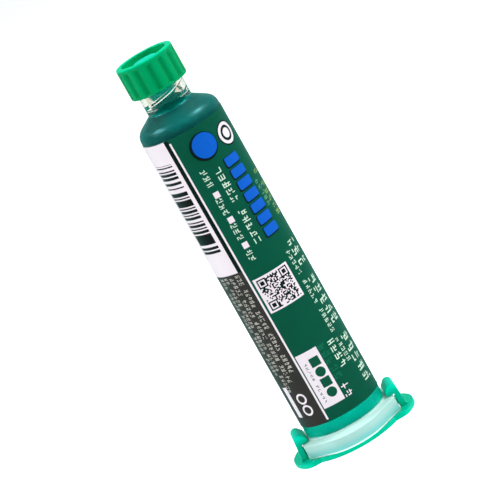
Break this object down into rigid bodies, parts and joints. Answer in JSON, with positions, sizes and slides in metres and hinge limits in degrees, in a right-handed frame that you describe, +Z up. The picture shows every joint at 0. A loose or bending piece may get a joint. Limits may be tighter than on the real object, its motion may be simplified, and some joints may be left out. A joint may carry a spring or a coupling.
{
  "type": "solder mask syringe",
  "caption": "Dispensing syringe of green solder mask ink: labelled translucent barrel with a luer-lock nozzle, fluted screw-on tip cap and a hooked clip-on end cap that it stands on.",
  "frame": {"origin": "centre of the end cap's flat underside, on the surface that the syringe stands on", "axes": "+Z up the barrel's axis towards the nozzle, X through the end cap's two hooks, Y along the longer way of the finger flange"},
  "size_m": [0.0288, 0.0256, 0.0937],
  "materials": {
    "end_cap_polyethylene": "satin moulded polyethylene, sea green",
    "barrel_polypropylene": "milky translucent moulded polypropylene",
    "label_film": "laminated printed film, dark green",
    "solder_mask_ink": "glossy green paste",
    "piston_polyethylene": "natural moulded polyethylene",
    "tip_cap_polypropylene": "satin moulded polypropylene, green"
  },
  "bodies": {
    "end_cap": {"end_cap": "end_cap_polyethylene"},
    "barrel": {"barrel": "barrel_polypropylene", "label": "label_film", "solder_mask_ink": "solder_mask_ink"},
    "piston": {"piston": "piston_polyethylene"},
    "tip_cap": {"tip_cap": "tip_cap_polypropylene"}
  },
  "joints": [
    {"name": "barrel_pull", "type": "slide", "parent": "end_cap", "child": "barrel", "axis": [0, 0, 1], "range_m": [0, 0.012], "deforming": ["end_cap"]},
    {"name": "piston_slide", "type": "slide", "parent": "barrel", "child": "piston", "axis": [0, 0, 1], "range_m": [0, 0.05], "deforming": ["solder_mask_ink"]},
    {"name": "tip_cap_lift", "type": "slide", "parent": "barrel", "child": "tip_cap", "axis": [0, 0, 1], "range_m": [0, 0.012]}
  ]
}
